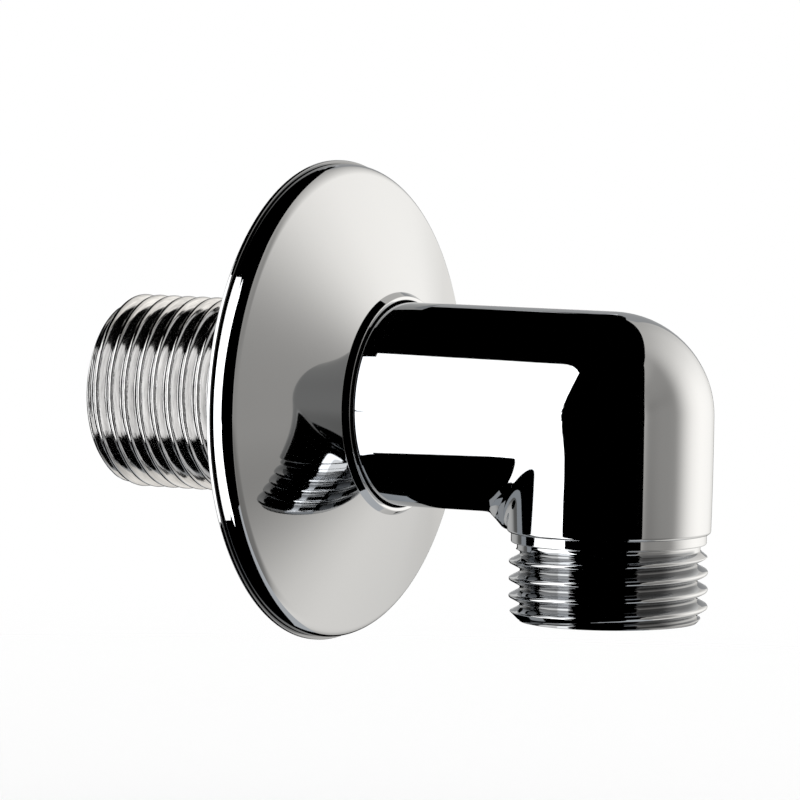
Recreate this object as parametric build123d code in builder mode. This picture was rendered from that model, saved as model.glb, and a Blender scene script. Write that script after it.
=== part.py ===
"""Wall outlet elbow for a shower hose: a threaded brass elbow, its wall flange and the flange's seal.

Millimetres. The inlet axis runs along X, out of the wall, +Z is up, and the wall face is at X = 0.
"""
import os
from math import acos, atan2, cos, hypot, pi, sin, tan

from build123d import *

# Half-inch parallel pipe thread of both ends
THREAD_D = 20.955
THREAD_ROOT_D = 18.631
THREAD_PITCH = 1.814
THREAD_CREST = 0.30
THREAD_ROOT = 0.28
THREAD_RUNOUT = 0.45

# Tube, corner and leg of the elbow
TUBE_D = 21.8
TUBE_BURIED = 2.45
TUBE_BACK_CHAMFER = 0.5
WALL_TO_OUTLET = 34.05
CORNER_FILLET = 2.6
LEG_LENGTH = 12.4
LEG_CHAMFER = 0.45

# Water passage
BORE_D = 14.0
BORE_CHAMFER = 0.6

# Inlet end, which screws into the fitting in the wall
INLET_DEPTH = 24.85
INLET_NECK_D = 18.4
INLET_NECK_LENGTH = 1.6
INLET_END_D = 19.1

# Outlet end, which takes the nut of the hose
OUTLET_DROP = 21.75
OUTLET_COLLAR_D = 20.6
OUTLET_COLLAR_LENGTH = 1.05
OUTLET_NECK_D = 19.3
OUTLET_NECK_LENGTH = 0.8
OUTLET_END_D = 18.7

# Wall flange
FLANGE_D = 51.6
FLANGE_HEIGHT = 8.65
FLANGE_LIP = 0.6
FLANGE_STEP = 0.55
FLANGE_EDGE_FLAT = 1.02
FLANGE_EDGE_RADIUS = 1.45
FLANGE_RIM_WIDTH = 2.0
FLANGE_WALL = 1.4
FLANGE_CLEARANCE = 0.2
FLANGE_MOUTH_RADIUS = 0.35
HUB_WALL = 3.0
HUB_LENGTH = 4.4

# Seal ring in the groove of the flange's hub
SEAL_SECTION = 1.5
SEAL_FIT = 0.02
SEAL_SIDE_ROOM = 0.2
SEAL_SETBACK = 1.5

# Radii and stations that follow from the sizes above
tube_r = TUBE_D / 2
bore_r = BORE_D / 2
thread_r = THREAD_D / 2
thread_root_r = THREAD_ROOT_D / 2
thread_depth = thread_r - thread_root_r
inlet_thread_front = -TUBE_BURIED - INLET_NECK_LENGTH
outlet_neck_top = -LEG_LENGTH - OUTLET_COLLAR_LENGTH
outlet_thread_top = outlet_neck_top - OUTLET_NECK_LENGTH
inlet_thread_length = INLET_DEPTH + inlet_thread_front
outlet_thread_length = OUTLET_DROP + outlet_thread_top
outlet_axis = Axis((WALL_TO_OUTLET, 0, 0), (0, 0, 1))

# Section of one thread groove, its root on the local X axis and its mouth above
thread_groove = [
    (-THREAD_ROOT / 2, 0),
    (THREAD_ROOT / 2, 0),
    ((THREAD_PITCH - THREAD_CREST) / 2, thread_depth),
    ((THREAD_CREST - THREAD_PITCH) / 2, thread_depth),
]

# Elbow body, cast and turned in one piece: tube, ball corner, short leg and both threaded ends
with BuildPart() as elbow_body:
    # Tube, from just behind the wall face to the corner
    with BuildSketch(Plane.YZ.offset(-TUBE_BURIED)):
        Circle(tube_r)
    extrude(amount=TUBE_BURIED + WALL_TO_OUTLET)
    chamfer(elbow_body.faces().sort_by(Axis.X)[0].edges(), TUBE_BACK_CHAMFER)

    # Ball corner, the leg below it, drawn over-long, and the rounded inside of the bend
    with Locations((WALL_TO_OUTLET, 0, 0)):
        Sphere(tube_r)
    with BuildSketch(Plane.XY):
        with Locations((WALL_TO_OUTLET, 0)):
            Circle(tube_r)
    leg_blank = LEG_LENGTH + tube_r
    extrude(amount=-leg_blank)
    fillet(elbow_body.edges().filter_by(GeomType.ELLIPSE), CORNER_FILLET)

    # Leg turned off to its length, with a bevelled lower edge
    with BuildSketch(Plane.XZ):
        with BuildLine():
            Polyline(
                (WALL_TO_OUTLET, -LEG_LENGTH),
                (WALL_TO_OUTLET + tube_r - LEG_CHAMFER, -LEG_LENGTH),
                (WALL_TO_OUTLET + tube_r, LEG_CHAMFER - LEG_LENGTH),
                (WALL_TO_OUTLET + tube_r + CORNER_FILLET, LEG_CHAMFER - LEG_LENGTH),
                (WALL_TO_OUTLET + tube_r + CORNER_FILLET, -leg_blank),
                (WALL_TO_OUTLET, -leg_blank),
                close=True,
            )
        make_face()
    revolve(axis=outlet_axis, mode=Mode.SUBTRACT)

    # Outlet end: collar, neck and the blank of the thread
    with BuildSketch(Plane.XY.offset(-LEG_LENGTH)):
        with Locations((WALL_TO_OUTLET, 0)):
            Circle(OUTLET_COLLAR_D / 2)
    extrude(amount=-OUTLET_COLLAR_LENGTH)
    with BuildSketch(Plane.XY.offset(outlet_neck_top)):
        with Locations((WALL_TO_OUTLET, 0)):
            Circle(OUTLET_NECK_D / 2)
    extrude(amount=-OUTLET_NECK_LENGTH)
    with BuildSketch(Plane.XY.offset(outlet_thread_top)):
        with Locations((WALL_TO_OUTLET, 0)):
            Circle(thread_r)
    extrude(amount=-outlet_thread_length)
    chamfer(elbow_body.faces().sort_by(Axis.Z)[0].edges(), (THREAD_D - OUTLET_END_D) / 2)

    # Inlet end: neck behind the tube and the blank of the thread
    with BuildSketch(Plane.YZ.offset(-TUBE_BURIED)):
        Circle(INLET_NECK_D / 2)
    extrude(amount=-INLET_NECK_LENGTH)
    with BuildSketch(Plane.YZ.offset(inlet_thread_front)):
        Circle(thread_r)
    extrude(amount=-inlet_thread_length)
    chamfer(elbow_body.faces().sort_by(Axis.X)[0].edges(), (THREAD_D - INLET_END_D) / 2)

    # Thread grooves of the outlet, one pitch apart from the neck down
    outlet_turns = 1 + int((outlet_thread_length - THREAD_RUNOUT) / THREAD_PITCH)
    with BuildSketch(Plane.XZ):
        for turn in range(outlet_turns):
            groove_z = outlet_thread_top - turn * THREAD_PITCH
            with Locations(Location((WALL_TO_OUTLET + thread_root_r, groove_z), -90)):
                Polygon(*thread_groove, align=None)
    revolve(axis=outlet_axis, mode=Mode.SUBTRACT)

    # Thread grooves of the inlet, one pitch apart from the neck back
    inlet_turns = 1 + int((inlet_thread_length - THREAD_RUNOUT) / THREAD_PITCH)
    with BuildSketch(Plane.XZ):
        for turn in range(inlet_turns):
            groove_x = inlet_thread_front - turn * THREAD_PITCH
            with Locations((groove_x, thread_root_r)):
                Polygon(*thread_groove, align=None)
    revolve(axis=Axis.X, mode=Mode.SUBTRACT)

    # Water passage: two bores that meet in a ball-shaped hollow, with bevelled mouths
    with BuildSketch(Plane.YZ.offset(-INLET_DEPTH)):
        Circle(bore_r)
    extrude(amount=INLET_DEPTH + WALL_TO_OUTLET, mode=Mode.SUBTRACT)
    with BuildSketch(Plane.XY.offset(-OUTLET_DROP)):
        with Locations((WALL_TO_OUTLET, 0)):
            Circle(bore_r)
    extrude(amount=OUTLET_DROP, mode=Mode.SUBTRACT)
    with Locations((WALL_TO_OUTLET, 0, 0)):
        Sphere(bore_r, mode=Mode.SUBTRACT)
    inlet_mouth = elbow_body.faces().sort_by(Axis.X)[0].edges().sort_by(SortBy.RADIUS)[0]
    outlet_mouth = elbow_body.faces().sort_by(Axis.Z)[0].edges().sort_by(SortBy.RADIUS)[0]
    chamfer([inlet_mouth, outlet_mouth], BORE_CHAMFER)

elbow_body.part.label = "elbow_body"

# Outline of the flange's rim: a thin lip against the wall, then a step in to the body's edge
flange_r = FLANGE_D / 2
edge_r = flange_r - FLANGE_STEP
edge_x = FLANGE_LIP + FLANGE_EDGE_FLAT

# Outline of its face: the rounding of the edge, then a line to the mouth, tangent to that rounding
mouth_r = tube_r + FLANGE_CLEARANCE
rim_centre_r = edge_r - FLANGE_EDGE_RADIUS
to_mouth_x = FLANGE_HEIGHT - edge_x
to_mouth_r = mouth_r - rim_centre_r
face_tilt = atan2(to_mouth_r, to_mouth_x) + acos(FLANGE_EDGE_RADIUS / hypot(to_mouth_x, to_mouth_r))
face_drop = tan(face_tilt)
rounding_turn = (face_tilt + pi / 2) / 2
rounding_middle = (
    edge_x + FLANGE_EDGE_RADIUS * cos(rounding_turn),
    rim_centre_r + FLANGE_EDGE_RADIUS * sin(rounding_turn),
)
rounding_end = (
    edge_x + FLANGE_EDGE_RADIUS * cos(face_tilt),
    rim_centre_r + FLANGE_EDGE_RADIUS * sin(face_tilt),
)

# Hollow back of the flange: inside of the rim, inside of the face, hub and seal groove
rim_inner_r = flange_r - FLANGE_RIM_WIDTH
hub_r = mouth_r + HUB_WALL
hub_back = FLANGE_HEIGHT - HUB_LENGTH
back_depth = FLANGE_WALL / cos(face_tilt)
hub_foot = FLANGE_HEIGHT - (hub_r - mouth_r) * face_drop - back_depth
rim_foot = FLANGE_HEIGHT - (rim_inner_r - mouth_r) * face_drop - back_depth
groove_r = tube_r + SEAL_SECTION + 2 * SEAL_FIT
groove_front = FLANGE_HEIGHT - SEAL_SETBACK
groove_back = groove_front - SEAL_SECTION - 2 * SEAL_SIDE_ROOM

# Wall flange, a turned conical cover with a rounded rim and a hollow back
with BuildPart() as wall_flange:
    with BuildSketch(Plane.XZ):
        with BuildLine():
            Polyline(
                (0, rim_inner_r),
                (0, flange_r),
                (FLANGE_LIP, flange_r),
                (FLANGE_LIP, edge_r),
                (edge_x, edge_r),
            )
            ThreePointArc((edge_x, edge_r), rounding_middle, rounding_end)
            Polyline(
                rounding_end,
                (FLANGE_HEIGHT, mouth_r),
                (groove_front, mouth_r),
                (groove_front, groove_r),
                (groove_back, groove_r),
                (groove_back, mouth_r),
                (hub_back, mouth_r),
                (hub_back, hub_r),
                (hub_foot, hub_r),
                (rim_foot, rim_inner_r),
                (0, rim_inner_r),
            )
        make_face()
    revolve(axis=Axis.X)
    mouth_edge = wall_flange.edges().filter_by(GeomType.CIRCLE).sort_by(Axis.X)[-1]
    fillet(mouth_edge, FLANGE_MOUTH_RADIUS)

wall_flange.part.label = "wall_flange"

# Seal ring, a rubber ring that grips the tube and keeps the flange against the wall
seal_x = groove_front - SEAL_SIDE_ROOM - SEAL_SECTION / 2
seal_r = tube_r + SEAL_FIT + SEAL_SECTION / 2
with BuildPart() as flange_seal:
    with BuildSketch(Plane.XZ):
        with Locations((seal_x, seal_r)):
            Circle(SEAL_SECTION / 2)
    revolve(axis=Axis.X)

flange_seal.part.label = "flange_seal"

os.makedirs("parts", exist_ok=True)
export_step(elbow_body.part, "parts/elbow_body.step")
export_step(wall_flange.part, "parts/wall_flange.step")
export_step(flange_seal.part, "parts/flange_seal.step")
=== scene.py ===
import bpy
import numpy as np
from mathutils import Matrix


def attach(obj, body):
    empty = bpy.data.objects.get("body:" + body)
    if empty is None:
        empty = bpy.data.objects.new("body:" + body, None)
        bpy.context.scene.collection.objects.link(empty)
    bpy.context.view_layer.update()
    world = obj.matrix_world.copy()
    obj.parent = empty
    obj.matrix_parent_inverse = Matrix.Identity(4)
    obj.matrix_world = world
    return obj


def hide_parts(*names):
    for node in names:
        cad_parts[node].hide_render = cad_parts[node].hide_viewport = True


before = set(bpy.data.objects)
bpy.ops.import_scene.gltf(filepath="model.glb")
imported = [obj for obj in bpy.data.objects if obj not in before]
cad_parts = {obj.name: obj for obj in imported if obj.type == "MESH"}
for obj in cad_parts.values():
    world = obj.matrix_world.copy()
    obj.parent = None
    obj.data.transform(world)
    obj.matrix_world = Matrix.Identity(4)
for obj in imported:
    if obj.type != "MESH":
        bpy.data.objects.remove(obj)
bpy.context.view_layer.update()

# Elbow body: one brass casting, turned at both ends, polished and chrome plated. The long inlet thread
# screws into the wall, the tube runs out to a ball corner, and a short leg ends in the hose thread.
# Two bores from the ends meet inside the ball and carry the water. Its sizes are in millimetres.
mm = 0.001
turns = 180
angle = np.arange(turns) * 2 * np.pi / turns
outlet_x = 34.05
tube_r, tube_start = 10.9, 0.15
leg_end, leg_taper, leg_edge_r = -12.05, 0.0011, 0.35
web_leg, crease_soft = 2.4, 2.4
passage_r, passage_soft, mouth_bevel = 7.0, 0.3, 0.6
inlet_end, inlet_neck, inlet_neck_r, inlet_tip_r = -24.85, -4.05, 9.2, 9.55
shoulder_x, shoulder_bevel = -2.45, 0.5
collar_end, collar_r = -13.45, 10.3
groove_end, groove_r = -14.1, 9.65
outlet_top, outlet_end, outlet_tip_r, outlet_run_in = -14.12, -21.75, 9.35, 1.2
end_face_r = 9.2
thread_r, thread_root_r, thread_pitch = 10.4775, 9.3155, 1.814
thread_arc, flank_lean = 0.137329 * thread_pitch, np.radians(27.5)
inlet_crest, outlet_crest = -10.9145, -14.74


def soft_least(first, second, reach):
    """The smaller of two distances, with their meeting line rounded where they differ by less than reach."""
    reach = np.maximum(reach, 1e-6)
    near = np.maximum(reach - np.abs(first - second), 0) / reach
    return np.minimum(first, second) - near**3 * reach / 6


def elbow_gap(points, bar_r, taper, web, soft):
    """Distance from points to the skin of two round bars that meet at a right angle. Each bar is round
    about a half-line that stops at the corner, so the two end in one ball. The leg's radius falls by taper
    times the square of the depth. Below the ball the crease between the bars is softened over a reach that
    grows with the root of the depth, and a bevel with legs of web fills the inner corner. Both die out up
    the sides, as the two skins come to lie in line."""
    x, y, z = points[..., 0] - outlet_x, points[..., 1], points[..., 2]
    past, above, below = np.maximum(x, 0), np.maximum(z, 0), np.minimum(z, 0)
    from_tube = np.sqrt(past**2 + y**2 + z**2) + 1e-9
    from_leg = np.sqrt(x**2 + y**2 + above**2) + 1e-9
    alike = np.clip((past * x + y**2 + z * above) / (from_tube * from_leg), -1, 1)
    crease = np.sqrt(1 - alike**2)
    depth = np.clip(np.minimum(-x, -z) / bar_r, 0, 1)
    to_tube = from_tube - bar_r
    to_leg = from_leg - bar_r + taper * below**2
    bevel = (to_tube + to_leg - web * depth**4 * crease) / np.sqrt(2 + 2 * alike + 1e-9)
    bars = soft_least(to_tube, to_leg, soft * crease * np.sqrt(depth) * (1.2 - 0.2 * depth))
    return soft_least(bars, bevel, 0.5 * soft * crease * depth**2)


def outer_skin(points):
    """Distance to the elbow's outside."""
    return elbow_gap(points, tube_r, leg_taper, web_leg, crease_soft)


def water_passage(points):
    """Distance to the two drilled bores and the hollow where they meet."""
    return elbow_gap(points, passage_r, 0.0, 0.0, passage_soft)


def tube_sections(x):
    """Upright sections across the tube: centres on its axis at x, first ray straight up."""
    x = np.asarray(x, float)
    return np.stack([x, 0 * x, 0 * x], -1), np.tile([0.0, 0.0, 1.0], (len(x), 1))


def leg_sections(z):
    """Level sections across the leg: centres on its axis at height z, first ray out along the tube's axis."""
    z = np.asarray(z, float)
    return np.stack([0 * z + outlet_x, 0 * z, z], -1), np.tile([1.0, 0.0, 0.0], (len(z), 1))


fan_spine = 11.8
fan_x = outlet_x - fan_spine


def corner_sections(lean):
    """Sections that fan round the inner corner like pages of a book, from upright (0) to level (90 degrees):
    the spine is a line fan_spine below the tube's axis and as far behind the leg's, and each centre is where
    the page crosses the bent axis."""
    lean = np.radians(np.asarray(lean, float))
    out = np.minimum(fan_spine * np.tan(np.minimum(lean, np.pi / 4)), fan_spine)
    down = fan_spine - fan_spine * np.tan(np.minimum(np.pi / 2 - lean, np.pi / 4))
    centre = np.stack([fan_x + out, 0 * lean, -down], -1)
    return centre, np.stack([np.sin(lean), 0 * lean, np.cos(lean)], -1)


def spokes(up):
    """Unit rays of each section, one for every angle: its cosine times up and its sine times +Y."""
    return np.cos(angle)[None, :, None] * up[:, None] + np.sin(angle)[None, :, None] * np.array([0.0, 1.0, 0.0])


def section_radius(sections, gap, furthest=24.0, halvings=40):
    """Radius round each cross-section: a ray goes out from the section's centre at every angle, and the
    stretch that holds the skin, at first all the way to furthest, is halved again and again."""
    centre, up = sections
    ray = spokes(up)
    near, far = np.zeros(ray.shape[:2]), np.full(ray.shape[:2], furthest)
    for _ in range(halvings):
        middle = (near + far) / 2
        inside = gap(centre[:, None] + middle[..., None] * ray) < 0
        near, far = np.where(inside, middle, near), np.where(inside, far, middle)
    return near


def even_round(radius):
    """The same radius at every angle of each section."""
    return np.repeat(np.asarray(radius, float)[:, None], turns, 1)


def pipe_thread(along, turn):
    """Radius of a right-hand half-inch pipe thread: off is how far the point is from the nearest crest,
    when the crest moves one pitch along the axis for each turn. Crest and root are arcs of 0.1373 pitch,
    joined by straight flanks that lean 27.5 degrees each side."""
    off = np.abs((along / thread_pitch - turn + 0.5) % 1 - 0.5) * thread_pitch
    edge = thread_arc * np.cos(flank_lean)
    crest = thread_r - thread_arc + np.sqrt(thread_arc**2 - np.minimum(off, edge) ** 2)
    rise = np.minimum(thread_pitch / 2 - off, edge)
    root = thread_root_r + thread_arc - np.sqrt(thread_arc**2 - rise**2)
    flank = thread_r - thread_arc * (1 - np.sin(flank_lean)) - (off - edge) / np.tan(flank_lean)
    return np.where(off < edge, crest, np.where(off > thread_pitch / 2 - edge, root, flank))


def turned_profile(outline, steps=6):
    """Outline of a turned piece from corners of (place along the axis, radius, rounding): straight runs, with
    each corner but the first and last replaced by an arc of its rounding that touches both runs. An arc has
    steps points, or more if it is long. A point stands just beside each of its ends, 0.04 off or a fifth of
    the shorter run, so the straight runs shade straight."""
    outline = np.asarray(outline, float)
    corners, roundings = outline[:, :2], outline[1:-1, 2]
    line = [corners[:1]]
    for before, corner, after, rounding in zip(corners, corners[1:], corners[2:], roundings):
        back, on = before - corner, after - corner
        room = min(np.linalg.norm(back), np.linalg.norm(on))
        back, on = back / np.linalg.norm(back), on / np.linalg.norm(on)
        half = np.arccos(np.clip(back @ on, -1, 1)) / 2
        run = rounding / np.tan(half)
        middle = corner + (back + on) / np.linalg.norm(back + on) * rounding / np.sin(half)
        first = corner + back * run - middle
        last = corner + on * run - middle
        sweep = np.pi - 2 * half
        part = np.linspace(0, 1, max(steps, int(np.degrees(sweep) * rounding / 5)))[:, None]
        arc = (np.sin((1 - part) * sweep) * first + np.sin(part * sweep) * last) / np.sin(sweep)
        beside = min(0.04, 0.2 * room)
        line += [[corner + back * (run + beside)], middle + arc, [corner + on * (run + beside)]]
    return np.concatenate(line + [corners[-1:]])


# Rings of each run, close together where the skin bends and far apart where it is straight
inlet_mouth = turned_profile([
    (inlet_end + 1.4, passage_r, 0), (inlet_end + mouth_bevel, passage_r, 0.2),
    (inlet_end, passage_r + mouth_bevel, 0.12), (inlet_end, end_face_r, 0)])
inlet_x = np.linspace(inlet_end, inlet_neck, 192)
inlet_bevels = np.minimum(inlet_tip_r + (inlet_x - inlet_end), inlet_neck_r + (inlet_neck - inlet_x))
inlet_thread = np.minimum(
    pipe_thread(inlet_x[:, None] - inlet_crest, -angle / (2 * np.pi)), inlet_bevels[:, None])
shoulder = turned_profile([
    (inlet_neck, inlet_neck_r, 0), (shoulder_x, inlet_neck_r, 0.2), (shoulder_x, tube_r - shoulder_bevel, 0.1),
    (shoulder_x + shoulder_bevel, tube_r, 0.2), (tube_start, tube_r, 0)])[1:]
tube_x = np.concatenate([
    np.linspace(tube_start + 1.5, fan_x - 4.1, 10), np.linspace(fan_x - 3.7, fan_x - 0.1, 16)])
corner_lean = np.linspace(0, 90, 85)
leg_edge_turn = np.linspace(0.12, np.pi / 2, 8)
leg_z = np.concatenate([
    np.linspace(-fan_spine - 0.05, leg_end, 4), leg_end - leg_edge_r * np.sin(leg_edge_turn)])
leg_past = np.maximum(leg_end - leg_z, 0)
leg_edge = leg_edge_r - np.sqrt(np.maximum(leg_edge_r**2 - leg_past**2, 0))
collar = turned_profile([
    (leg_end - leg_edge_r, collar_r + 0.04, 0), (leg_end - leg_edge_r, collar_r, 0.02),
    (collar_end, collar_r, 0.14), (collar_end, groove_r, 0.12), (groove_end, groove_r, 0)])
outlet_z = np.linspace(outlet_top, outlet_end, 104)
outlet_bevels = np.minimum(
    groove_r + outlet_run_in * (outlet_top - outlet_z), outlet_tip_r + (outlet_z - outlet_end))
outlet_thread = np.minimum(
    pipe_thread(outlet_z[:, None] - outlet_crest, angle / (2 * np.pi)), outlet_bevels[:, None])
outlet_mouth = turned_profile([
    (outlet_end, end_face_r, 0), (outlet_end, passage_r + mouth_bevel, 0.12),
    (outlet_end + mouth_bevel, passage_r, 0.2), (outlet_end + 1.55, passage_r, 0)])
inner_z = np.linspace(-19.0, -13.0, 3)
inner_lean = np.linspace(90, 0, 31)
inner_x = np.linspace(fan_x - 0.6, inlet_end + 2.5, 12)

# The skin's runs in order, out from the inlet's mouth and back through the passage. Each has its sections and
# radii, and then how far it is only turned, shows its brass, and carries painted shade in its roots
elbow_runs = [
    (tube_sections(inlet_mouth[:, 0]), even_round(inlet_mouth[:, 1]), 1.0, 0.3, 0.0),
    (tube_sections(inlet_x), inlet_thread, 0.6, 0.0, 0.2),
    (tube_sections(shoulder[:, 0]), even_round(shoulder[:, 1]), 0.6, 0.0, 0.0),
    (tube_sections(tube_x), section_radius(tube_sections(tube_x), outer_skin), 0.0, 0.0, 0.0),
    (corner_sections(corner_lean), section_radius(corner_sections(corner_lean), outer_skin), 0.0, 0.0, 0.0),
    (leg_sections(leg_z), section_radius(leg_sections(leg_z), outer_skin) - leg_edge[:, None], 0.0, 0.0, 0.0),
    (leg_sections(collar[:, 0]), even_round(collar[:, 1]), 0.05, 0.0, 0.0),
    (leg_sections(outlet_z), outlet_thread, 0.08, 0.0, 0.55),
    (leg_sections(outlet_mouth[:, 0]), even_round(outlet_mouth[:, 1]), 0.5, 0.3, 0.0),
    (leg_sections(inner_z), even_round(passage_r + 0 * inner_z), 0.8, 1.0, 0.0),
    (corner_sections(inner_lean), section_radius(corner_sections(inner_lean), water_passage), 0.8, 1.0, 0.0),
    (tube_sections(inner_x), even_round(passage_r + 0 * inner_x), 0.8, 1.0, 0.0),
]
run_sections, run_radii, *run_marks = zip(*elbow_runs)
centre = np.concatenate([sections[0] for sections in run_sections])
up = np.concatenate([sections[1] for sections in run_sections])
radius = np.concatenate(run_radii)
elbow_skin = (centre[:, None] + radius[..., None] * spokes(up)) * mm
turned, brassy, root_shade_share = np.repeat(run_marks, [radii.size for radii in run_radii], axis=1)
# Painted shade: thread roots are darkened in the base colour, more the deeper they lie below root_top_r
root_top_r, root_fade = 10.3, 0.9
root_painted_shade = root_shade_share * np.clip((root_top_r - radius.ravel()) / root_fade, 0, 1)
axis_upright = np.repeat((np.abs(up[:, 2]) < 0.5).astype(float), turns)


def closed_skin(name, skin, **marks):
    """A mesh from a grid of points that closes on itself both ways, one face between every four points.
    Each mark is a number for every point, kept as an attribute for the material."""
    rows, columns = skin.shape[:2]
    point = np.arange(rows * columns).reshape(rows, columns)
    ahead, beside = np.roll(point, -1, 0), np.roll(point, -1, 1)
    faces = np.stack([point, ahead, np.roll(ahead, -1, 1), beside], -1).reshape(-1, 4)
    mesh = bpy.data.meshes.new(name)
    mesh.from_pydata(skin.reshape(-1, 3), [], faces)
    mesh.polygons.foreach_set("use_smooth", np.ones(len(faces), bool))
    for mark, values in marks.items():
        mesh.attributes.new(mark, "FLOAT", "POINT").data.foreach_set("value", values.astype(np.float32))
    mesh.update()
    piece = bpy.data.objects.new(name, mesh)
    bpy.context.collection.objects.link(piece)
    return piece


elbow = closed_skin("polished_elbow", elbow_skin, turned=turned, brassy=brassy, upright=axis_upright,
                    crevice=root_painted_shade)

# Chrome plate, as a group: polishing leaves a faint ripple and a trace of haze, and a lathe leaves fine
# marks that run round the axis, with darker and lighter streaks, where the metal is only turned
plate = bpy.data.node_groups.new("chrome_plate", "ShaderNodeTree")
plate_sockets = (
    ("INPUT", "Position", "NodeSocketVector"), ("INPUT", "Lathe scale", "NodeSocketVector"),
    ("INPUT", "Turned", "NodeSocketFloat"), ("OUTPUT", "Tone", "NodeSocketColor"),
    ("OUTPUT", "Roughness", "NodeSocketFloat"), ("OUTPUT", "Relief", "NodeSocketFloat"),
)
for way, label, kind in plate_sockets:
    plate.interface.new_socket(label, in_out=way, socket_type=kind)


def node(tree, kind, inputs=(), **properties):
    """Adds a shader node with its properties. An input, by name or place, is linked to another node's output
    where it is given one, and otherwise set to the value. A Mix node's inputs are the share at 0, then two
    floats at 2 and 3, two vectors at 4 and 5 and two colours at 6 and 7."""
    made = tree.nodes.new(kind)
    for name, value in properties.items():
        setattr(made, name, value)
    for name, source in dict(inputs).items():
        if isinstance(source, bpy.types.NodeSocket):
            tree.links.new(source, made.inputs[name])
        else:
            made.inputs[name].default_value = source
    return made


def sum_of(tree, first, second, scale):
    """first + second * scale."""
    return node(tree, "ShaderNodeMath", {0: second, 1: scale, 2: first}, operation="MULTIPLY_ADD").outputs[0]


def noise(tree, position, scale, detail, roughness):
    """Noise round 0.5, with about scale waves in a unit of position."""
    return node(tree, "ShaderNodeTexNoise", {
        "Vector": position, "Scale": scale, "Detail": detail, "Roughness": roughness}).outputs[0]


given = plate.nodes.new("NodeGroupInput").outputs
ripple = noise(plate, given["Position"], 170.0, 1.0, 0.4)
haze = noise(plate, given["Position"], 900.0, 3.0, 0.6)
stretched = node(plate, "ShaderNodeVectorMath", {0: given["Position"], 1: given["Lathe scale"]},
                 operation="MULTIPLY").outputs[0]
lathe = noise(plate, stretched, 1.0, 3.0, 0.65)
lathe_here = node(plate, "ShaderNodeMath", {0: lathe, 1: given["Turned"]}, operation="MULTIPLY").outputs[0]
polished_tone, turned_tone = (0.575, 0.587, 0.602, 1), (0.66, 0.65, 0.64, 1)
haze_tone = 0.06
toned = sum_of(plate, sum_of(plate, -haze_tone / 2, given["Turned"], 1.0), haze, haze_tone)
plain_tone = node(plate, "ShaderNodeMix", {0: toned, 6: polished_tone, 7: turned_tone},
                  data_type="RGBA").outputs[2]
streak = node(plate, "ShaderNodeMapRange", {
    "Value": lathe, "From Min": 0.32, "From Max": 0.68, "To Min": 0.72, "To Max": 1.34}).outputs[0]
tone = node(plate, "ShaderNodeMix", {0: given["Turned"], 6: plain_tone, 7: streak},
            data_type="RGBA", blend_type="MULTIPLY").outputs[2]
polish_rough, haze_rough, lathe_rough = 0.01, 0.03, 0.22
roughness = sum_of(plate, sum_of(plate, polish_rough, haze, haze_rough), lathe_here, lathe_rough)
ripple_rise, lathe_rise = 0.006, 0.012
relief = sum_of(plate, sum_of(plate, 0.0, ripple, ripple_rise), lathe_here, lathe_rise)
plate_out = plate.nodes.new("NodeGroupOutput").inputs
plate.links.new(tone, plate_out["Tone"])
plate.links.new(roughness, plate_out["Roughness"])
plate.links.new(relief, plate_out["Relief"])

edge_tint, brass, painted_shade_black = (0.84, 0.85, 0.86, 1), (0.55, 0.44, 0.26, 1), (0.02, 0.02, 0.02, 1)
lathe_fine, lathe_long = 5200.0, 240.0


def chrome(name):
    """A chrome material: the plate group on Object coordinates, slightly darker at grazing angles. The mesh's
    own marks say where the metal is only turned, whether its axis is upright, where it shows its brass, and
    where painted shade darkens a thread root or the flange's slit. The lathe marks are noise, fine along the
    axis and long round it."""
    material = bpy.data.materials.new(name)
    material.use_nodes = True
    tree = material.node_tree
    marks = {mark: node(tree, "ShaderNodeAttribute", attribute_name=mark).outputs["Fac"]
             for mark in ("turned", "upright", "brassy", "crevice")}
    lay = node(tree, "ShaderNodeMix", {
        0: marks["upright"], 4: (lathe_fine, lathe_long, lathe_long), 5: (lathe_long, lathe_long, lathe_fine)},
        data_type="VECTOR").outputs[1]
    place = node(tree, "ShaderNodeTexCoord").outputs["Object"]
    finish = node(tree, "ShaderNodeGroup", {"Position": place, "Lathe scale": lay, "Turned": marks["turned"]},
                  node_tree=plate).outputs
    plated = node(tree, "ShaderNodeMix", {0: marks["brassy"], 6: finish["Tone"], 7: brass},
                  data_type="RGBA").outputs[2]
    # Painted shade: the base colour goes towards near black in the thread roots and the flange's slit
    base = node(tree, "ShaderNodeMix", {0: marks["crevice"], 6: plated, 7: painted_shade_black}, data_type="RGBA")
    bump = node(tree, "ShaderNodeBump", {"Height": finish["Relief"], "Strength": 1.0, "Distance": 0.001})
    metal = tree.nodes["Principled BSDF"]
    metal.inputs["Metallic"].default_value = 1.0
    metal.inputs["Specular Tint"].default_value = edge_tint
    tree.links.new(base.outputs[2], metal.inputs["Base Color"])
    tree.links.new(finish["Roughness"], metal.inputs["Roughness"])
    tree.links.new(bump.outputs[0], metal.inputs["Normal"])
    return material


elbow.data.materials.append(chrome("elbow_chrome"))
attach(elbow, "root")
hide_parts("elbow_body")


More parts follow.
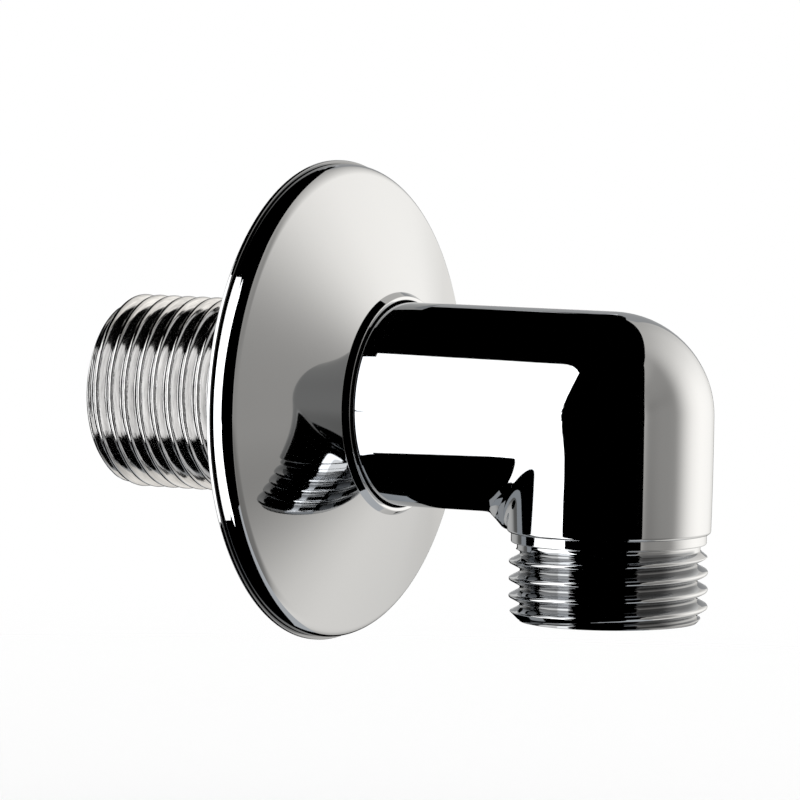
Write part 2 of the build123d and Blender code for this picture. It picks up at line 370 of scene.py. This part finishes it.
# Wall flange: a conical cover of brass, turned hollow at the back, polished and chrome plated. Its rim ends in
# a thin lip with a narrow slit behind it, and its mouth is slightly raised. It slides on the tube and is pushed
# against the wall; a groove inside its hub holds the seal that grips the tube.
flange_turns = 360
rim_r, ring_r, lip = 25.8, 24.4, 0.5
slit, slit_root_r = 0.15, 24.9
edge_x, edge_r, edge_round = 2.504, 25.42, 1.69
cone_x, cone_r = 8.30, 11.92
mouth_x, mouth_r = 9.05, 11.48
hub_x, hub_r = 4.25, 11.1
seal_groove_x, seal_groove_end, seal_groove_r = 5.25, 7.15, 12.44
hollow_hub_x, hollow_hub_r = 5.84, 14.1
hollow_rim_x, hollow_rim_r = 1.676, 23.8
flange_line = turned_profile([
    (0, ring_r, 0), (0, rim_r, 0.18), (lip, rim_r, 0.1),
    (lip, slit_root_r, 0.03), (lip + slit, slit_root_r, 0.03), (lip + slit, edge_r, 0.04),
    (edge_x, edge_r, edge_round), (cone_x, cone_r, 0.06), (mouth_x, mouth_r, 0.12), (mouth_x, hub_r, 0.08),
    (seal_groove_end, hub_r, 0.12), (seal_groove_end, seal_groove_r, 0.1),
    (seal_groove_x, seal_groove_r, 0.1), (seal_groove_x, hub_r, 0.12), (hub_x, hub_r, 0.2),
    (hub_x, hollow_hub_r, 0.25), (hollow_hub_x, hollow_hub_r, 0.5), (hollow_rim_x, hollow_rim_r, 0.5),
    (0, hollow_rim_r, 0.12), (0, ring_r, 0)], steps=7)[:-1]


def revolved(line, around):
    """The outline of (distance from the wall, radius) pairs turned about the X axis, as a closed grid."""
    spin = np.arange(around) * 2 * np.pi / around
    x, r = line[:, :1], line[:, 1:]
    return np.stack([x + 0 * spin, r * np.cos(spin), r * np.sin(spin)], -1) * mm


flange_skin = revolved(flange_line[::-1], flange_turns)
from_wall, flange_r = flange_line[::-1].T

# The back, behind a line that runs along the cone, is only turned. The slit carries painted shade, less
# of it above the edge of the body, and the painted shade reaches a little round the lip and that edge
back_top, cone_slope, back_r, back_turned = 8.0, 0.4292, 24.6, 0.7
lip_wrap, edge_wrap, slit_shade_deep, slit_shade_upper = 0.08, 0.03, 1.0, 0.6
at_back = (from_wall < back_top - (flange_r - hub_r) * cone_slope) & (flange_r < back_r)
at_slit = (from_wall > lip - lip_wrap) & (from_wall < lip + slit + edge_wrap)
in_slit = at_slit & (flange_r > back_r) & (flange_r < rim_r - 0.001)
# Painted shade in the slit: full strength below the edge of the body, 0.6 above it
slit_painted_shade = np.where(in_slit, np.where(flange_r < edge_r + 0.01, slit_shade_deep, slit_shade_upper), 0.0)
flange = closed_skin("conical_flange", flange_skin, turned=np.repeat(at_back * back_turned, flange_turns),
                     crevice=np.repeat(slit_painted_shade, flange_turns))
flange.data.materials.append(chrome("flange_chrome"))
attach(flange, "root")
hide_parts("wall_flange")


# Flange seal: a ring of black rubber, round in section, moulded in one piece. It sits in the groove of the
# flange's hub and presses on the tube.
seal_x, seal_r, seal_section_r = 6.2, 11.67, 0.75
seal_turns, seal_steps = 180, 32
seal_angle = np.arange(seal_steps) * 2 * np.pi / seal_steps
seal_line = np.stack([
    seal_x + seal_section_r * np.cos(seal_angle), seal_r + seal_section_r * np.sin(seal_angle)], -1)
seal = closed_skin("rubber_seal", revolved(seal_line, seal_turns))
rubber = bpy.data.materials.new("seal_rubber")
rubber.use_nodes = True
rubber_dark, rubber_light = (0.012, 0.012, 0.012, 1), (0.032, 0.032, 0.031, 1)
rubber_rough, grain_rough = 0.5, 0.2
rubber_tree = rubber.node_tree
rubber_place = node(rubber_tree, "ShaderNodeTexCoord").outputs["Object"]
grain = noise(rubber_tree, rubber_place, 4000.0, 4.0, 0.5)
rubber_tone = node(rubber_tree, "ShaderNodeMix", {0: grain, 6: rubber_dark, 7: rubber_light}, data_type="RGBA")
rubber_bump = node(rubber_tree, "ShaderNodeBump", {"Height": grain, "Strength": 0.4, "Distance": 0.00005})
rubber_skin = rubber_tree.nodes["Principled BSDF"].inputs
rubber_tree.links.new(rubber_tone.outputs[2], rubber_skin["Base Color"])
rubber_tree.links.new(sum_of(rubber_tree, rubber_rough, grain, grain_rough), rubber_skin["Roughness"])
rubber_tree.links.new(rubber_bump.outputs[0], rubber_skin["Normal"])
seal.data.materials.append(rubber)
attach(seal, "root")
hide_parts("flange_seal")


# Studio: a white room with a large white softbox at the left and a grey-to-white sweep at the right. Black
# cloths hang round the camera, overhead, underfoot, at the side and behind, with dim cards between them.
# Cards and cloths show only in the polished metal, and their outlines shape its reflections. Sizes in metres.
scene = bpy.context.scene
scene.view_settings.view_transform = "Standard"
world = bpy.data.worlds.new("white_room")
scene.world = world
world.use_nodes = True
world_tree = world.node_tree
room_light, room_seen = 0.7, 1.0
path = world_tree.nodes.new("ShaderNodeLightPath").outputs
seen_outside = node(world_tree, "ShaderNodeMath", {0: path["Is Camera Ray"], 1: path["Is Glossy Ray"]},
                    operation="MAXIMUM").outputs[0]
seen = node(world_tree, "ShaderNodeMath", {0: seen_outside, 1: path["Is Transmission Ray"]},
            operation="MAXIMUM").outputs[0]
room = world_tree.nodes["Background"].inputs
world_tree.links.new(sum_of(world_tree, room_light, seen, room_seen - room_light), room["Strength"])
room["Color"].default_value = (1, 1, 1, 1)


def studio_card(name, corners, light, ramp=(), lift=()):
    """A flat card seen only in reflections, its corners in order. It glows with light. Where ramp and lift are
    given, the glow is ramp's level from side to side times lift's share from bottom to top, plus lift's own
    level: ramp holds (place, level) stops and lift (place, share, level) stops."""
    mesh = bpy.data.meshes.new(name)
    mesh.from_pydata(np.array(corners), [], [tuple(range(len(corners)))])
    board = bpy.data.objects.new(name, mesh)
    bpy.context.collection.objects.link(board)
    board.visible_camera = board.visible_diffuse = board.visible_shadow = False
    material = bpy.data.materials.new(name)
    material.use_nodes = True
    tree = material.node_tree
    tree.nodes.remove(tree.nodes["Principled BSDF"])
    glow = node(tree, "ShaderNodeEmission", {"Color": (*light, 1)})
    tree.links.new(glow.outputs[0], tree.nodes["Material Output"].inputs["Surface"])
    if ramp:
        mesh.uv_layers.new(name="UVMap").data.foreach_set("uv", np.array([0, 0, 1, 0, 1, 1, 0, 1], np.float32))
        uv = node(tree, "ShaderNodeSeparateXYZ", {0: node(tree, "ShaderNodeTexCoord").outputs["UV"]}).outputs
        fades = []
        for source, stops in ((uv["X"], ramp), (uv["Y"], lift)):
            fade = node(tree, "ShaderNodeValToRGB", {0: source})
            fade.color_ramp.interpolation = "B_SPLINE"
            for stop in stops[2:]:
                fade.color_ramp.elements.new(stop[0])
            for element, stop in zip(fade.color_ramp.elements, stops):
                element.position, element.color = stop[0], (stop[1], stop[-1], 0, 1)
            fades.append(node(tree, "ShaderNodeSeparateColor", {0: fade.outputs[0]}).outputs)
        level = sum_of(tree, fades[1]["Green"], fades[0]["Red"], fades[1]["Red"])
        tree.links.new(level, glow.inputs["Strength"])
    board.data.materials.append(material)


card_centre = np.array([outlet_x * mm, 0, 0])


def heading(azimuth):
    """Level direction at an azimuth: 0 is towards -Y, 90 towards +X."""
    azimuth = np.radians(azimuth)
    return np.array([np.sin(azimuth), -np.cos(azimuth), 0.0])


def shaped_card(azimuth, distance, outline):
    """Corners of an upright card that faces the object from an azimuth, from an outline of (across, height)."""
    middle = card_centre + heading(azimuth) * distance
    return [middle + heading(azimuth + 90) * x + np.array([0, 0, z]) for x, z in outline]


def upright_card(azimuth, distance, left, right, low, high):
    """Corners of an upright oblong card that faces the object from an azimuth; its sides are at the azimuths
    left and right, its foot and top at the given heights."""
    left, right = (distance * np.tan(np.radians(side - azimuth)) for side in (left, right))
    return shaped_card(azimuth, distance, [(left, low), (right, low), (right, high), (left, high)])


softbox_azimuth, sweep_azimuth, rear_azimuth = -50, 134, 210


def level_card(height, left, right, front, back):
    """Corners of a level card above or below the object, squared to the sweep."""
    aside, away = heading(sweep_azimuth), heading(sweep_azimuth + 90)
    return [card_centre + aside * a + away * b + np.array([0, 0, height])
            for a, b in ((-left, -front), (right, -front), (right, back), (-left, back))]


softbox_white, flap_white, cloth_black = (1.90, 1.88, 1.85), (3.1, 3.1, 3.1), (0, 0, 0)
flap_distance = 0.135
studio_card("softbox", upright_card(softbox_azimuth, 1.5, -82, -30, -1.35, 1.80), softbox_white)
studio_card("softbox_flap", shaped_card(softbox_azimuth, flap_distance, [
    (0.024, -0.1165), (0.0383, -0.153), (0.043, -0.166), (0.078, -0.166), (0.0645, -0.031), (0.0671, -0.0255),
    (0.0696, -0.0218), (0.070, -0.0178), (0.0661, -0.015), (0.0612, -0.0126), (0.0631, -0.008), (0.0632, 0.002),
    (0.0633, 0.0167), (0.0665, 0.0442), (0.0725, 0.078), (0.0760, 0.115), (0.0752, 0.158), (0.060, 0.164),
    (0.0387, 0.164), (0.024, 0.1615)]), flap_white)
studio_card("softbox_foot", shaped_card(softbox_azimuth, flap_distance, [
    (-0.02, -0.112), (0.024, -0.1165), (0.024, -0.06), (-0.02, -0.06)]), softbox_white)
studio_card("camera_cloth", upright_card(20.5, 1.6, -50, 65.5, -4, 4), cloth_black)
studio_card(
    "sweep", upright_card(sweep_azimuth, 1.5, 60, 200, -3.0, 2.93), (1.715, 1.655, 1.565),
    ramp=[(0.18, 0.37), (0.22, 0.30), (0.27, 0.225), (0.34, 0.215), (0.41, 0.235), (0.47, 0.235), (0.50, 0.25),
          (0.515, 0.275), (0.53, 0.36), (0.545, 0.47), (0.56, 0.59), (0.575, 0.70), (0.59, 0.80), (0.605, 0.87),
          (0.63, 0.95), (0.66, 1.0), (0.72, 0.97), (0.77, 0.92), (0.81, 0.82), (0.86, 0.70), (1.0, 0.55)],
    lift=[(0.36, 0.64, 0), (0.39, 0.66, 0), (0.42, 0.76, 0), (0.45, 0.95, 0), (0.47, 1.0, 0), (0.55, 1.0, 0),
          (0.60, 0.9, 0), (0.65, 0.70, 0.06), (0.72, 0.48, 0.13), (0.81, 0.33, 0.17), (0.90, 0.15, 0.27),
          (1.0, 0.1, 0.3)])
studio_card("overhead_cloth", level_card(2.93, 4.0, 1.5, 6.0, 7.5), cloth_black)
studio_card("underfoot_cloth", level_card(-1.6, 2.4, 0.30, 4.0, 4.0), cloth_black)
studio_card("underfoot_card", level_card(-1.6, -0.30, 0.80, 4.0, 4.0), (0.60, 0.62, 0.64))
studio_card("side_cloth", upright_card(-87, 0.5, -98, -74, -1.2, 0.07), cloth_black)
studio_card("side_card", upright_card(-104, 0.45, -122, -90, -0.535, -0.21), (0.37, 0.382, 0.394))
studio_card("rear_cloth", upright_card(216, 1.7, 198, 240, -1.6, -0.05), cloth_black)
studio_card("rear_card", shaped_card(rear_azimuth, 1.4, [
    (-0.40, 0.0), (0.65, 0.0), (0.65, 0.6), (-0.10, 0.6), (-0.16, 1.15), (-0.40, 1.15)]), (0.45, 0.45, 0.45))
studio_card("rear_crest", shaped_card(rear_azimuth, 1.3, [
    (0.019, 0.52), (0.019, 1.25), (-0.245, 1.25), (-0.235, 1.07), (-0.19, 0.83), (-0.137, 0.695)]), cloth_black)
studio_card("corner_cloth", shaped_card(75, 1.3, [
    (-0.25, -0.10), (-0.215, -0.10), (-0.2085, 0.2085), (-0.178, 0.426), (-0.148, 0.594), (-0.061, 0.895),
    (0.068, 1.235), (0.22, 1.588), (0.30, 1.784), (-0.25, 1.90)]), cloth_black)

# Floor: a round pale sheet under the part, painted matt. It fades out into the white room, is not seen in the
# metal, and is clear from below.
floor_x, floor_z, floor_sides = 0.01, -0.052, 96
floor_rings = np.array([0.001, 0.15, 0.3, 0.45])
floor_angle = np.arange(floor_sides) * 2 * np.pi / floor_sides
floor_grid = np.stack([
    floor_x + floor_rings[:, None] * np.cos(floor_angle), floor_rings[:, None] * np.sin(floor_angle),
    np.full((len(floor_rings), floor_sides), floor_z)], -1)
floor_point = np.arange(floor_grid.shape[0] * floor_sides).reshape(-1, floor_sides)
floor_next = np.roll(floor_point, -1, 1)
floor_bands = np.stack([floor_point[:-1], floor_point[1:], floor_next[1:], floor_next[:-1]], -1).reshape(-1, 4)
floor_mesh = bpy.data.meshes.new("pale_floor")
floor_mesh.from_pydata(floor_grid.reshape(-1, 3), [], [floor_point[0].tolist()] + floor_bands.tolist())
floor = bpy.data.objects.new("pale_floor", floor_mesh)
bpy.context.collection.objects.link(floor)
floor.visible_glossy = False
paint = bpy.data.materials.new("pale_floor")
paint.use_nodes = True
paint_tree = paint.node_tree
floor_place = node(paint_tree, "ShaderNodeTexCoord").outputs["Object"]
floor_away = node(paint_tree, "ShaderNodeVectorMath", {0: floor_place}, operation="LENGTH").outputs["Value"]
floor_fade = node(paint_tree, "ShaderNodeMapRange", {
    "Value": floor_away, "From Min": 0.08, "From Max": 0.30, "To Min": 1.0, "To Max": 0.0}).outputs[0]
floor_under = node(paint_tree, "ShaderNodeNewGeometry").outputs["Backfacing"]
floor_shown = node(paint_tree, "ShaderNodeMix", {0: floor_under, 2: floor_fade, 3: 0.0}).outputs[0]
paint_skin = paint_tree.nodes["Principled BSDF"].inputs
paint_skin["Base Color"].default_value = (0.93, 0.93, 0.93, 1)
paint_skin["Roughness"].default_value = 0.9
paint_skin["Specular IOR Level"].default_value = 0.0
paint_tree.links.new(floor_shown, paint_skin["Alpha"])
floor.data.materials.append(paint)

# Lamp: a wide soft disk above and behind the part, tilted to face it
lamp_x, lamp_y, lamp_z = 0.05, 0.25, 1.1
lamp = bpy.data.objects.new("soft_lamp", bpy.data.lights.new("soft_lamp", "AREA"))
bpy.context.collection.objects.link(lamp)
lamp.data.shape, lamp.data.size, lamp.data.energy = "DISK", 0.9, 5.6
lamp.location = (lamp_x, lamp_y, lamp_z)
lamp.rotation_euler = (-np.arctan2(lamp_y, lamp_z), np.arctan2(lamp_x, lamp_z), 0)
lamp.visible_glossy = False


# Camera: looks at the elbow from its open side, a little above, through a long lens that fills the frame
# with it. Three directions and the eye's place make up its matrix.
aim = np.array([-0.48890047, 0.86906229, -0.07554511])
rightward = np.array([0.87107654, 0.49101699, 0.01131274])
upward = np.array([-0.04692541, 0.06027477, 0.99707821])
eye = np.array([0.35533531, -0.61623212, 0.05396648])
lens = bpy.data.cameras.new("camera")
lens.sensor_width = 36.0
lens.lens = 298.456
lens.clip_start, lens.clip_end = 0.01, 50.0
camera = bpy.data.objects.new("camera", lens)
bpy.context.collection.objects.link(camera)
camera.matrix_world = Matrix([[rightward[i], upward[i], -aim[i], eye[i]] for i in range(3)] + [[0, 0, 0, 1]])
scene.camera = camera
